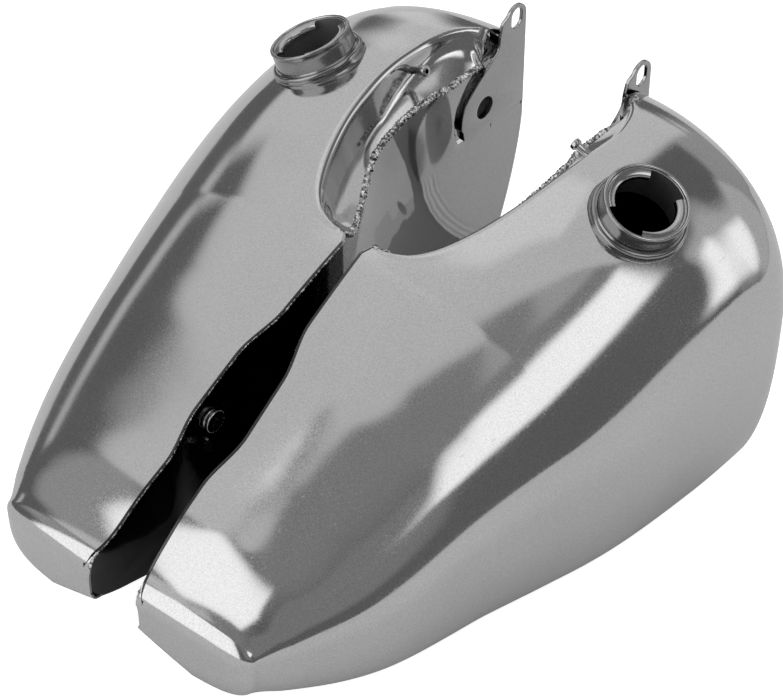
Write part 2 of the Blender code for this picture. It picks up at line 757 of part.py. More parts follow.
def tube_along(name, points, radius, side):
    """A bead of weld along points in millimetres, as a welded mesh."""
    curve = bpy.data.curves.new(name, "CURVE")
    curve.dimensions = "3D"
    curve.bevel_depth = radius * MM
    curve.bevel_resolution = 1
    curve.use_fill_caps = True
    spline = curve.splines.new("POLY")
    spline.points.add(len(points) - 1)
    for point, (x, y, z) in zip(spline.points, points):
        point.co = (side * x * MM, y * MM, z * MM, 1)
    drawn = bpy.data.objects.new(name + "_path", curve)
    bpy.context.scene.collection.objects.link(drawn)
    bpy.context.view_layer.update()
    graph = bpy.context.evaluated_depsgraph_get()
    mesh = bpy.data.meshes.new_from_object(drawn.evaluated_get(graph))
    shape = bmesh.new()
    shape.from_mesh(mesh)
    bmesh.ops.remove_doubles(shape, verts=shape.verts, dist=0.00001)
    bmesh.ops.recalc_face_normals(shape, faces=shape.faces)
    shape.to_mesh(mesh)
    shape.free()
    made = bpy.data.objects.new(name, mesh)
    bpy.context.scene.collection.objects.link(made)
    bpy.data.objects.remove(drawn)
    return made


def seam_weld(name, side, body):
    """The weld bead along the recess's inner edge, where the skin meets the pocket wall."""
    radius = 1.5
    edge = [ring[0] for ring in skin_rings() if 0 < ring[0][1] < 221]
    points = [(x - radius - 1.2, y, z - 0.6) for x, y, z in edge]
    return place(tube_along(name, points, radius, side), body, weld_metal())


def spigot(name, place_xy, reach, side, body):
    """A threaded spigot out of the floor pan, with a collar under it."""
    frame = spigot_frame(place_xy, side)
    x, y = place_xy
    lift = pan_height(x, y) - levels(y)[3]
    profile = [
        (SPIGOT_BORE, reach - lift),
        (SPIGOT_RADIUS - 1, reach - lift),
        (SPIGOT_RADIUS, reach - lift - 1),
        (SPIGOT_RADIUS, -8 - lift),
        (SPIGOT_BORE, -8 - lift),
    ]
    return place(turned(name, profile, frame, 20), body, machined_steel())


def drill_pan(pan, place_xy, side):
    tool = rod(SPIGOT_RADIUS + GAP, -60, 20, spigot_frame(place_xy, side), 24)
    cut(pan, cutter(f"{pan.name}_hole_{len(pan.modifiers)}", tool))


def tank_half(label, side):
    """Every piece of one half, on that half's own empty."""
    body = bpy.data.objects.new(label + "_tank", None)
    bpy.data.collections[OBJECT_NAME].objects.link(body)
    body.location = (side * POCKET_X * MM, 0, 0)
    bpy.context.view_layer.update()
    outer_shell(label + "_outer_shell", side, body)
    inner_wall(label + "_inner_wall", side, body)
    pan = floor_pan(label + "_floor_pan", side, body)
    filler_flange(label + "_filler_flange", side, body)
    filler_collar(label + "_filler_collar", side, body)
    bayonet_ring(label + "_bayonet_ring", side, body)
    vent_nipple(label + "_vent_nipple", side, body)
    front_bracket(label + "_front_bracket", side, body)
    seam_weld(label + "_seam_weld", side, body)
    rear_bung(label + "_rear_bung", side, body)
    rear_tab(label + "_rear_tab", side, body)
    spigot(label + "_crossover_spigot", CROSSOVER, 6, side, body)
    drill_pan(pan, CROSSOVER, side)
    if side < 0:
        spigot(label + "_petcock_spigot", PETCOCK, 6, side, body)
        drill_pan(pan, PETCOCK, side)


def main():
    for old in list(bpy.data.objects):
        bpy.data.objects.remove(old)
    for name in (OBJECT_NAME, OBJECT_NAME + "_cutters"):
        bpy.context.scene.collection.children.link(bpy.data.collections.new(name))
    tank_half("left", -1)
    tank_half("right", 1)


main()
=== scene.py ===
"""Looks for a pair of bare steel split fuel tanks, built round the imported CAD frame.

Sizes are in millimetres unless a name says otherwise; meshes are made in metres. A half is described once,
for the right side, and mirrored for the left.
"""

import math

import bmesh
import bpy
import numpy as np
from mathutils import Matrix, Vector, noise


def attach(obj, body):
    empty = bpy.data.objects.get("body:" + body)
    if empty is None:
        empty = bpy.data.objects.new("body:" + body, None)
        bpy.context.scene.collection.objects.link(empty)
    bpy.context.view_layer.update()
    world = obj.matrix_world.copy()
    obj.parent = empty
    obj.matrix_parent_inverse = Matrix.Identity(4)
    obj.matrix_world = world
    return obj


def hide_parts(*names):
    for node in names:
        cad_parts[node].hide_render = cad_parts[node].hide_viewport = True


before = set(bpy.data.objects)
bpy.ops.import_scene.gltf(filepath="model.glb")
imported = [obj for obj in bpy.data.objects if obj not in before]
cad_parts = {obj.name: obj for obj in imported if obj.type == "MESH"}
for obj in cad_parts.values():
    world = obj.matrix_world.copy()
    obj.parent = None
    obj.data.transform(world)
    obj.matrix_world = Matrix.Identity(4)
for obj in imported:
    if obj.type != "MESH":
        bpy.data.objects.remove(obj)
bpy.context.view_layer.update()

MM = 0.001
SHEET = 1.6  # sheet steel thickness

# ---------------------------------------------------------------- the tank's shape, as in the CAD

# The skin, station by station from the tail (y, half width, top, widest level, underside, rise of the pan).
STATIONS = (
    (-260, 113, 120, 94, 55, 18),
    (-176, 161, 160, 97, 26, 28),
    (-76, 189, 213, 123, 11, 30),
    (24, 217, 252, 130, 3, 28),
    (124, 230, 273.5, 141, 0, 20),
    (184, 234, 272, 142, 2, 10),
)
STATION_BLUR = ((-24, 0.1), (-12, 0.23), (0, 0.34), (12, 0.23), (24, 0.1))  # distance along, and weight
CROWN_POWER = 2.3  # superellipse exponents: 2 is an ellipse, more is squarer
BELLY_POWER = 3.4
NOSE_BELLY_POWER = 2.2
CROWN_START = (1.5, 20)  # degrees of the crown taken by its first strip, beside the recess and far from it
CROWN_START_RUN = 100  # how far along the tank that change takes
TAIL_Y = -265
TAIL_DEPTH = 10
TAIL_INSET = 16
TAIL_CREASE = 30  # degrees of the end's roll that are missing along its top, which leaves a crease
CREASE_SPREAD = (0.45, 25)  # it dies away over this share of the crown, and this near the outer side
TAIL_DROP = (9, -205)  # how far the top falls towards the tail, and from where
TAIL_SWEEP = (8, 34)  # how far forward the end's outer side is swept, and the length that takes it up
NOSE_Y = 265
NOSE_START = 184
NOSE_TOP_START = 195
NOSE_TOP_DROP = 42
NOSE_SIDE_Z = 190
NOSE_CHIN_Z = 178
NOSE_PLAN_POWER = 2.1
NOSE_CHIN_POWER = 1.5

# The inner wall: a narrow gap at the back, a wide pocket for the frame's neck at the front.
GAP_X_TAIL = 20
GAP_X_END = (9, 30)  # how far the wall's end turns out, and over what length
GAP_X_FRONT = 8
RELIEF_Y = (-190, -70)
RELIEF_DEPTH = 8
JUNCTION_Y = -10
POCKET_X = 57
POCKET_SWEEP = 1.5  # how suddenly the pocket's sweep meets its flat front
POCKET_END = (132, 205, 0.0045)  # where they meet on plan, above that height, and its bow below it
POCKET_END_FLOOR = 98
BOWL_START = 80  # how long the lean takes to grow, from the junction
BOWL_LEAN = 8  # the sweep leans out at its top, most of all at BOWL_Y
BOWL_BULGE = 4.5
BOWL_Y = (85, 28)
BOWL_Z = (165, 235)
BOWL_ENDS_Y = (150, 180)
POCKET_LEAN = 4.5  # the wall leans out behind the bracket
BRACKET_THICK = 3
BRACKET_FOOT_Z = 194
BRACKET_STEP = (8, 6)  # the wall steps back behind the bracket: this far under its foot, over this height
BRACKET_LEAN_HEIGHT = 50
# The bracket's rear edge (y, z), from the ear down.
BRACKET_REAR = (
    (236, 272),
    (233, 262),
    (231, 251),
    (219, 241),
    (203, 230),
    (192, 220),
    (187.5, 210),
    (187, 200),
    (189, 196),
)
WELL_WIDTH = 9  # the wall's step starts this far behind that edge
WELL_SLOPE = 3  # and takes this long

# The dash recess along the inner side of the top (y, depth at the wall's foot, depth at the seam, wall run).
RECESS = (
    (-3, 0, 0, 3),
    (6, 13, 12, 9),
    (18, 22, 25, 13),
    (40, 25, 34, 16),
    (66, 26, 36, 15),
    (88, 29, 33, 14),
    (110, 29, 31, 10),
    (144, 25, 29, 4.5),
    (184, 14, 26, 3.5),
    (210, 9, 26, 4),
    (221, 5, 23, 4),
    (226, 0, 1, 3),
)
RECESS_X = 87.5
RECESS_WIDEST_Y = 180
RECESS_REAR_Y = -3
RECESS_FRONT_Y = 226
RECESS_REAR_CREST = (11, 2.3)  # where the crest starts at the rear, and how full its curve is
RECESS_FRONT_CREST = (68, 1.6)
CREST_DEGREES = 3.5  # of the crown, taken by the crest's rounding
PAN_SHARE = 0.5

# The filler neck, along its own axis.
NECK_RIM = (155.6, 124, 278)
NECK_AXIS = (0.372, -0.095, 0.923)
NECK_HEIGHT = 24
NECK_RADIUS = 32
NECK_BORE = 28.5
FLANGE_RADIUS = 36
FLANGE_TOP = 8

NIPPLE_BASE = (92, 157, 258.6)
NIPPLE_TIP = (68, 157, 267.4)
REAR_BUNG = (-138, 154)  # y and z of its centre on the inner wall
EAR_CENTRE = (253, 269)  # y and z on the bracket
EAR_RADIUS = 12
EAR_SLOT = (6.5, 9)  # half width and half height
BOLT_HOLE = (215.5, 205.5, 9.5)  # y, z and radius


def through(table, column, at):
    """A smooth curve through a table's rows: cubic Hermite with centred slopes."""
    rows = [(row[0], row[column]) for row in table]
    at = min(max(at, rows[0][0]), rows[-1][0])
    k = max(i for i in range(len(rows) - 1) if rows[i][0] <= at)

    def slope(i):
        low, high = max(i - 1, 0), min(i + 1, len(rows) - 1)
        return (rows[high][1] - rows[low][1]) / (rows[high][0] - rows[low][0])

    (y0, v0), (y1, v1) = rows[k], rows[k + 1]
    run = y1 - y0
    t = (at - y0) / run
    ends = (2 * t**3 - 3 * t**2 + 1) * v0 + (3 * t**2 - 2 * t**3) * v1
    return ends + run * ((t**3 - 2 * t**2 + t) * slope(k) + (t**3 - t**2) * slope(k + 1))


def rounding(share, power=2.0):
    """How far a superellipse has fallen, 0 to 1, at a share of its run."""
    share = min(max(share, 0.0), 1.0)
    return 1 - (1 - share**power) ** (1 / power)


def ease(share):
    share = min(max(share, 0.0), 1.0)
    return share * share * (3 - 2 * share)


def pocket_end(z):
    """How far forward the pocket's sweep runs before the flat front, at a height."""
    y, level, bow = POCKET_END
    return y + bow * max(level - max(z, POCKET_END_FLOOR), 0) ** 2


def plan_x(y, z=0):
    """The inner wall's line on plan, before it leans."""
    if y >= JUNCTION_Y:
        share = min((y - JUNCTION_Y) / (pocket_end(z) - JUNCTION_Y), 1)
        return GAP_X_FRONT + (POCKET_X - GAP_X_FRONT) * (1 - (1 - share) ** POCKET_SWEEP)
    share = (JUNCTION_Y - y) / (JUNCTION_Y - TAIL_Y)
    line = GAP_X_FRONT + (GAP_X_TAIL - GAP_X_FRONT) * share
    along = (y - RELIEF_Y[0]) / (RELIEF_Y[1] - RELIEF_Y[0])
    relief = RELIEF_DEPTH * ease(1.5 - abs(3 * along - 1.5)) if 0 < along < 1 else 0
    turned_out, length = GAP_X_END
    return line + relief + turned_out * rounding((TAIL_Y + length - y) / length)


def wall_x(y, z):
    """The inner wall's face: a bowl that leans out at its top, then a step and a lean behind the bracket."""
    bulge = BOWL_BULGE * math.exp(-(((y - BOWL_Y[0]) / BOWL_Y[1]) ** 2))
    height = ease((z - BOWL_Z[0]) / (BOWL_Z[1] - BOWL_Z[0]))
    bowl = ease((y - JUNCTION_Y) / BOWL_START) * (BOWL_LEAN + bulge) * height
    front = 1 - ease((y - RECESS_FRONT_Y) / (NOSE_Y - RECESS_FRONT_Y))
    below, rise = BRACKET_STEP
    step = (BRACKET_THICK + 0.5) * ease((z - BRACKET_FOOT_Z + below) / rise)
    lean = POCKET_LEAN * ease((z - BRACKET_FOOT_Z) / BRACKET_LEAN_HEIGHT) * front
    ahead = ease((y - BOWL_ENDS_Y[0]) / (BOWL_ENDS_Y[1] - BOWL_ENDS_Y[0]))
    edge = BRACKET_REAR[::-1]
    rear = float(np.interp(z, [p[1] for p in edge], [p[0] for p in edge]))
    in_well = ease((y - rear + WELL_WIDTH) / WELL_SLOPE)
    return plan_x(y, z) + bowl * (1 - ahead) + step * in_well + lean * ahead


def smooth_through(column, at):
    """The station curve, blurred a little along the tank so that reflections run evenly."""
    return sum(weight * through(STATIONS, column, at + off) for off, weight in STATION_BLUR)


def levels(y):
    """Half width, top, widest level, underside and pan rise at one station, with the nose rounded off."""
    width, top, side, under, rise = (smooth_through(i, y) for i in range(1, 6))
    nose = (y - NOSE_START) / (NOSE_Y - NOSE_START)
    front_x = POCKET_X + BRACKET_THICK + 0.5
    width += (front_x - width) * rounding(nose, NOSE_PLAN_POWER)
    top -= NOSE_TOP_DROP * rounding((y - NOSE_TOP_START) / (NOSE_Y - NOSE_TOP_START))
    top -= TAIL_DROP[0] * ease((TAIL_DROP[1] - y) / (TAIL_DROP[1] - TAIL_Y))
    side += (NOSE_SIDE_Z - side) * ease(nose)
    under += (NOSE_CHIN_Z - under) * rounding(nose, NOSE_CHIN_POWER)
    return width, top, max(side, under + 2), under, rise * (1 - ease(nose * 2))


def crest_x(y):
    """The recess's outer edge on plan."""
    if y < RECESS_WIDEST_Y:
        start, power = RECESS_REAR_CREST
        share = (RECESS_WIDEST_Y - y) / (RECESS_WIDEST_Y - RECESS_REAR_Y)
    else:
        start, power = RECESS_FRONT_CREST
        share = (y - RECESS_WIDEST_Y) / (RECESS_FRONT_Y - RECESS_WIDEST_Y)
    return start + (RECESS_X - start) * (1 - rounding(share, power))


def crown(y, angle, shape):
    """A point (x, z) on the top: angle 0 is the inner edge, 90 degrees the widest line."""
    width, top, side = shape
    start = min(wall_x(y, top), width)
    x = start + (width - start) * math.sin(angle) ** (2 / CROWN_POWER)
    return x, side + (top - side) * math.cos(angle) ** (2 / CROWN_POWER)


# How many points each part of a cross-section has.
RECESS_COLUMNS = 26
CROWN_COLUMNS = 44
BELLY_COLUMNS = 26
PAN_COLUMNS = 5


def rounded_line(points, radii, steps):
    """A polyline with its inner corners rounded, with the same number of points whatever its sizes."""
    made = [points[0]]
    for before, here, after, radius in zip(points, points[1:], points[2:], radii):
        a, b, c = Vector(before), Vector(here), Vector(after)
        radius = min(radius, 0.48 * (a - b).length, 0.48 * (c - b).length)
        a = b + (a - b).normalized() * radius if radius > 0 else b
        c = b + (c - b).normalized() * radius if radius > 0 else b
        for i in range(steps + 1):
            t = i / steps
            p = a * (1 - t) ** 2 + b * (2 * t * (1 - t)) + c * t * t
            made.append((p.x, p.y))
    made.append(points[-1])
    return made


def resample(points, count):
    """That many points, evenly spaced along a polyline, without its last one."""
    line = np.array(points, float)
    run = np.concatenate([[0], np.cumsum(np.hypot(*(line[1:] - line[:-1]).T))])
    at = np.linspace(0, run[-1], count + 1)[:-1]
    return list(zip(np.interp(at, run, line[:, 0]), np.interp(at, run, line[:, 1])))


def section(y):
    """One fine cross-section of the skin, from the inner top edge round to the inner bottom edge."""
    width, top, side, under, rise = levels(y)
    shape = (width, top, side)
    if RECESS_REAR_Y < y < RECESS_FRONT_Y:
        depth, seam, run = (through(RECESS, i, y) for i in (1, 2, 3))
        start = wall_x(y, top)
        crest = crest_x(y)
        angle = math.asin(((crest - start) / (width - start)) ** (CROWN_POWER / 2))
        crest_z = crown(y, angle, shape)[1]
        edge = wall_x(y, crest_z - seam)
        foot = max(crest - min(run, 0.5 * (crest - edge)), edge + 0.1)
        beyond = angle + math.radians(CREST_DEGREES)
        corner = [
            (edge, crest_z - seam),
            (foot, crest_z - depth - 0.4),
            (crest, crest_z + 0.4),
            crown(y, beyond, shape),
        ]
        points = resample(rounded_line(corner, (9, 7), 8), RECESS_COLUMNS)
        first = beyond
    else:
        away = max(RECESS_REAR_Y - y, y - RECESS_FRONT_Y)
        near, far = CROWN_START
        first = math.radians(near + CREST_DEGREES + (far - near) * ease(away / CROWN_START_RUN))
        points = resample([crown(y, first * i / 12, shape) for i in range(13)], RECESS_COLUMNS)
    for i in range(CROWN_COLUMNS):
        points.append(crown(y, first + (math.pi / 2 - first) * i / CROWN_COLUMNS, shape))
    inner = min(plan_x(y), width)
    turn = inner + PAN_SHARE * (width - inner)
    power = BELLY_POWER + (NOSE_BELLY_POWER - BELLY_POWER) * ease((y - NOSE_START) / (NOSE_Y - NOSE_START))
    for i in range(BELLY_COLUMNS + 1):
        angle = math.pi / 2 * i / BELLY_COLUMNS
        x = turn + (width - turn) * max(math.cos(angle), 0) ** (2 / power)
        points.append((x, side + (under - side) * math.sin(angle) ** (2 / power)))
    for i in range(1, PAN_COLUMNS + 1):
        share = i / PAN_COLUMNS
        points.append((turn + (inner - turn) * share, under + rise * share))
    return points


def inset(points, amounts):
    """A cross-section drawn in towards its inner side and its middle, each point by its own amount."""
    inner, outer = points[0][0], max(x for x, _ in points)
    low, high = min(z for _, z in points), max(z for _, z in points)
    middle, half = (low + high) / 2, (high - low) / 2
    moved = []
    for (x, z), amount in zip(points, amounts):
        narrow, flat = 1 - amount / (outer - inner), 1 - amount / half
        moved.append((inner + (x - inner) * narrow, middle + (z - middle) * flat))
    return moved


# How far round the tail's roll its rings lie, from the end face's rim forward.
ROLL_SHARES = (1, 0.92, 0.84, 0.75, 0.66, 0.57, 0.48, 0.38, 0.28, 0.18, 0.08, 0)


def tail_ring(first, share):
    """A ring of the tail's roll, from the end face's rim (share 1) to the first cross-section (0)."""
    outer = max(x for x, _ in first)
    side = max(first)[1]
    top = max(z for _, z in first)
    ys, amounts = [], []
    for x, z in first:
        crown_share, near = CREASE_SPREAD
        creased = ease((z - side) / (crown_share * (top - side))) * ease((outer - x) / near)
        start = math.radians(TAIL_CREASE) * creased
        angle = start + (math.pi / 2 - start) * share
        amounts.append(TAIL_INSET * (math.cos(start) - math.cos(angle)) / math.cos(start))
        ys.append(TAIL_Y + TAIL_DEPTH * (1 - (math.sin(angle) - math.sin(start)) / (1 - math.sin(start))))
    return [(x, y, z) for (x, z), y in zip(inset(first, amounts), ys)]


def swept(ring, inner, outer):
    """A ring near the tail with its outer side moved forward, so that the end turns its corner on plan."""
    reach, length = TAIL_SWEEP
    moved = []
    for x, y, z in ring:
        share = min(max((x - inner) / (outer - inner), 0), 1)
        moved.append((x, y + reach * share**2 * max(1 - (y - TAIL_Y) / length, 0), z))
    return moved


def skin_rings():
    """Rings of (x, y, z) from the middle of the tail face to the front edge."""
    first = section(TAIL_Y + TAIL_DEPTH)
    rim = tail_ring(first, 1)
    inner, _, floor = rim[-1]
    spine = [(inner + (x - inner) * 0.02, TAIL_Y, max(z, floor + 1)) for x, _, z in rim]
    rings = []
    for share in (0, 0.3, 0.55, 0.75, 0.9):
        rings.append([tuple(a[k] + (b[k] - a[k]) * share for k in range(3)) for a, b in zip(spine, rim)])
    rings += [tail_ring(first, share) for share in ROLL_SHARES]
    stops = list(np.arange(TAIL_Y + TAIL_DEPTH + 1.5, RECESS_REAR_Y - 10, 4.0))
    stops += list(np.arange(-10, 30, 1.5))
    stops += list(np.arange(32, 184, 4.0))
    stops += [184 + 79 * math.sin(math.radians(90 * i / 34)) for i in range(34)]
    stops += [263, 264, 264.6, NOSE_Y]
    for y in stops:
        rings.append([(x, y, z) for x, z in section(y)])
    outer = max(x for x, _ in first)
    return [swept(ring, inner, outer) for ring in rings]


# ---------------------------------------------------------------- making meshes

def link(name, mesh):
    made = bpy.data.objects.new(name, mesh)
    bpy.context.scene.collection.objects.link(made)
    return made


def mesh_piece(name, points, faces, side, smooth=40):
    """A smooth mesh from points in millimetres, mirrored for the left side (side -1)."""
    mesh = bpy.data.meshes.new(name)
    mesh.from_pydata([(side * x * MM, y * MM, z * MM) for x, y, z in points], [],
                     [tuple(reversed(face)) for face in faces] if side < 0 else faces)
    shape = bmesh.new()
    shape.from_mesh(mesh)
    bmesh.ops.remove_doubles(shape, verts=shape.verts, dist=0.000004)
    shape.to_mesh(mesh)
    shape.free()
    mesh.shade_smooth()
    mesh.set_sharp_from_angle(angle=math.radians(smooth))
    return link(name, mesh)


def grid_faces(rows, columns, wrap=False):
    """The faces of a grid of points; wrap joins its last column to its first."""
    faces = []
    for i in range(rows - 1):
        for j in range(columns if wrap else columns - 1):
            a, b = i * columns + j, i * columns + (j + 1) % columns
            faces.append((a, b, b + columns, a + columns))
    return faces


def thicken(made, thickness=SHEET):
    solid = made.modifiers.new("Solidify", "SOLIDIFY")
    solid.thickness = thickness * MM
    solid.offset = -1
    return solid


def apply_modifiers(made):
    graph = bpy.context.evaluated_depsgraph_get()
    mesh = bpy.data.meshes.new_from_object(made.evaluated_get(graph))
    made.modifiers.clear()
    made.data = mesh
    return made


def cut(made, tool):
    boolean = made.modifiers.new("Cut", "BOOLEAN")
    boolean.operation = "DIFFERENCE"
    boolean.object = tool
    apply_modifiers(made)
    bpy.data.objects.remove(tool)


def rod(radius, low, high, frame_matrix, segments=64):
    """A plain cylinder along a frame's own Z, between two heights."""
    mesh = bpy.data.meshes.new("rod")
    shape = bmesh.new()
    bmesh.ops.create_cone(shape, cap_ends=True, segments=segments, radius1=radius * MM,
                          radius2=radius * MM, depth=(high - low) * MM)
    bmesh.ops.translate(shape, verts=shape.verts, vec=(0, 0, (low + high) / 2 * MM))
    bmesh.ops.transform(shape, verts=shape.verts, matrix=frame_matrix)
    shape.to_mesh(mesh)
    shape.free()
    return link("rod", mesh)


def turned(name, profile, frame_matrix, segments=96, smooth=40, wobble=None):
    """A turned piece from a closed profile of (radius, height); wobble may shift each point."""
    points = []
    for i in range(segments):
        angle = 2 * math.pi * i / segments
        for r, h in profile:
            dr, dh = wobble(angle, r, h) if wobble else (0, 0)
            out = (r + dr) * MM
            spot = Vector((out * math.cos(angle), out * math.sin(angle), (h + dh) * MM))
            points.append(tuple(frame_matrix @ spot))
    count = len(profile)
    faces = []
    for i in range(segments):
        for j in range(count):
            a, b = i * count + j, i * count + (j + 1) % count
            c, d = ((i + 1) % segments) * count + (j + 1) % count, ((i + 1) % segments) * count + j
            faces.append((a, b, c, d))
    mesh = bpy.data.meshes.new(name)
    mesh.from_pydata(points, [], faces)
    shape = bmesh.new()
    shape.from_mesh(mesh)
    bmesh.ops.recalc_face_normals(shape, faces=shape.faces)
    shape.to_mesh(mesh)
    shape.free()
    mesh.shade_smooth()
    mesh.set_sharp_from_angle(angle=math.radians(smooth))
    return link(name, mesh)


def frame_along(origin, axis, side, forward=(0, 1, 0)):
    z = Vector((side * axis[0], axis[1], axis[2])).normalized()
    x = Vector(forward).cross(z).normalized()
    made = Matrix((x, z.cross(x), z)).transposed().to_4x4()
    made.translation = Vector((side * origin[0], origin[1], origin[2])) * MM
    return made


def neck_frame(side):
    axis = Vector(NECK_AXIS).normalized()
    return frame_along(Vector(NECK_RIM) - axis * NECK_HEIGHT, axis, side)


def nipple_frame(side):
    return frame_along(NIPPLE_BASE, Vector(NIPPLE_TIP) - Vector(NIPPLE_BASE), side)


def bung_frame(side):
    y, z = REAR_BUNG
    return frame_along((wall_x(y, z), y, z), (-1, 0, 0), side)


def settle(piece, label, material, slot, *nodes):
    """Gives a piece its material and its body, and lets it stand for its CAD nodes."""
    piece.data.materials.clear()
    piece.data.materials.append(material)
    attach(piece, label + "_tank")
    if nodes:
        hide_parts(*nodes)
    return piece


# ---------------------------------------------------------------- materials

def node_material(name):
    made = bpy.data.materials.new(name)
    made.use_nodes = True
    nodes, links = made.node_tree.nodes, made.node_tree.links
    shader = nodes["Principled BSDF"]
    shader.inputs["Metallic"].default_value = 1.0
    coords = nodes.new("ShaderNodeTexCoord").outputs["Object"]
    return made, nodes, links, shader, coords


def stretched(nodes, links, coords, scale):
    mapping = nodes.new("ShaderNodeMapping")
    mapping.inputs["Scale"].default_value = scale
    links.new(coords, mapping.inputs["Vector"])
    return mapping.outputs["Vector"]


def noise_at(nodes, links, vector, scale, detail=3.0, roughness=0.5):
    made = nodes.new("ShaderNodeTexNoise")
    made.inputs["Scale"].default_value = scale
    made.inputs["Detail"].default_value = detail
    made.inputs["Roughness"].default_value = roughness
    links.new(vector, made.inputs["Vector"])
    return made.outputs["Fac"]


def remap(nodes, links, value, low, high, to_low, to_high, smooth=False):
    made = nodes.new("ShaderNodeMapRange")
    if smooth:
        made.interpolation_type = "SMOOTHSTEP"
    ends = {"From Min": low, "From Max": high, "To Min": to_low, "To Max": to_high}
    for socket, number in ends.items():
        made.inputs[socket].default_value = number
    links.new(value, made.inputs["Value"])
    return made.outputs["Result"]


def math_node(nodes, links, operation, *values):
    made = nodes.new("ShaderNodeMath")
    made.operation = operation
    for socket, value in zip(made.inputs, values):
        if isinstance(value, (int, float)):
            socket.default_value = value
        else:
            links.new(value, socket)
    return made.outputs["Value"]


def grey(nodes, links, value):
    made = nodes.new("ShaderNodeCombineColor")
    for socket in made.inputs[:3]:
        links.new(value, socket)
    return made.outputs["Color"]


def bump(nodes, links, heights):
    """Chains bumps of (height, strength, distance in metres) into one normal."""
    normal = None
    for height, strength, distance in heights:
        made = nodes.new("ShaderNodeBump")
        made.inputs["Strength"].default_value = strength
        made.inputs["Distance"].default_value = distance
        links.new(height, made.inputs["Height"])
        if normal is not None:
            links.new(normal, made.inputs["Normal"])
        normal = made.outputs["Normal"]
    return normal


def steel(name, value, rough, grain, waves, scratches=0.0, drawn=(1, 0.08, 1), blotch=0.03,
          painted=None):
    """Bare steel: value and roughness drift in soft blotches, with fine grain and faint drawn lines.

    painted names the stored tone that its value is multiplied by.
    """
    made, nodes, links, shader, coords = node_material(name)
    drift = noise_at(nodes, links, coords, 9.0, 4.0, 0.55)
    fine = noise_at(nodes, links, coords, 900.0, 2.0, 0.7)
    lines = noise_at(nodes, links, stretched(nodes, links, coords, drawn), 700.0, 3.0, 0.6)
    broad = noise_at(nodes, links, coords, 22.0, 2.0, 0.5)
    tone = remap(nodes, links, drift, 0.3, 0.7, value * (1 - blotch), value * (1 + blotch))
    speck = remap(nodes, links, fine, 0.3, 0.7, 0.86, 1.14)
    tone = math_node(nodes, links, "MULTIPLY", tone, speck)
    if painted:
        stored = nodes.new("ShaderNodeAttribute")
        stored.attribute_name = painted
        tone = math_node(nodes, links, "MULTIPLY", tone, stored.outputs["Fac"])
    links.new(grey(nodes, links, tone), shader.inputs["Base Color"])
    dull = remap(nodes, links, drift, 0.3, 0.7, rough - 0.03, rough + 0.04)
    dull = math_node(nodes, links, "ADD", dull, remap(nodes, links, fine, 0.35, 0.65, -0.03, 0.03))
    heights = [(fine, grain, 0.00004), (broad, waves, 0.004)]
    if scratches:
        scored = noise_at(nodes, links, stretched(nodes, links, coords, (60, 7, 60)), 12.0, 1.0, 0.4)
        cut_line = remap(nodes, links, scored, 0.70, 0.74, 0, 1, True)
        scored = math_node(nodes, links, "MULTIPLY", cut_line, scratches)
        dull = math_node(nodes, links, "ADD", dull, scored)
    heights.append((lines, 0.06, 0.00003))
    links.new(dull, shader.inputs["Roughness"])
    links.new(bump(nodes, links, heights), shader.inputs["Normal"])
    return made


def weld_material():
    made, nodes, links, shader, coords = node_material("weld_metal")
    lumps = noise_at(nodes, links, coords, 330.0, 3.0, 0.6)
    # The base follows the same lumps as the bump: dark in the hollows as painted shade, and light on the
    # crowns as a painted highlight.
    tone = remap(nodes, links, lumps, 0.4, 0.6, 0.1, 0.95)
    links.new(grey(nodes, links, tone), shader.inputs["Base Color"])
    links.new(remap(nodes, links, lumps, 0.3, 0.7, 0.4, 0.14), shader.inputs["Roughness"])
    links.new(bump(nodes, links, [(lumps, 1.0, 0.0014)]), shader.inputs["Normal"])
    return made


# The stored tone read by the shell and the wall steel holds painted shade and painted reflection.
SHELL = steel("shell_steel", 0.56, 0.1, 0.1, 0.02, scratches=0.1, painted="tone")
WALL = steel("wall_steel", 0.4, 0.1, 0.1, 0.08, drawn=(1, 1, 0.08), painted="tone")
PLATE = steel("plate_steel", 0.38, 0.14, 0.15, 0.03)
MACHINED = steel("machined_steel", 0.5, 0.16, 0.3, 0.0)
# A darker copy of the machined steel for the collar and flange: painted shade for the dark surroundings they
# reflect.
NECK_PAINTED_DARK = steel("neck_steel_painted_dark", 0.3, 0.16, 0.3, 0.0)
INSIDE = steel("bare_inside", 0.42, 0.5, 0.6, 0.05)
WELD = weld_material()


# ---------------------------------------------------------------- the pieces

def recess_painted_shade(x, y, z):
    """Painted light for the sunken ledge along the seam: painted shade on its rolled side, broken by faint
    cross lines, and a painted highlight on its floor.
    """
    if not RECESS_REAR_Y + 2 < y < RECESS_FRONT_Y - 6 or z < 150:
        return 1.0
    crest, run = crest_x(y), through(RECESS, 3, y)
    inward = crest - x
    if inward < 0.8:
        return 1.0
    rolled = ease((run - inward) / 2.5)
    ends = ease((y - RECESS_REAR_Y - 2) / 10) * ease((RECESS_FRONT_Y - 12 - y) / 30)
    hatch = 0.06 * noise.noise(Vector((y / 1.1, x / 14, 2))) + 0.05 * noise.noise(Vector((y / 9, 3, 2)))
    dark = 0.42 + 0.3 * ease((y - 90) / 60) + hatch
    return 1.12 - (1.12 - dark) * rolled * ends


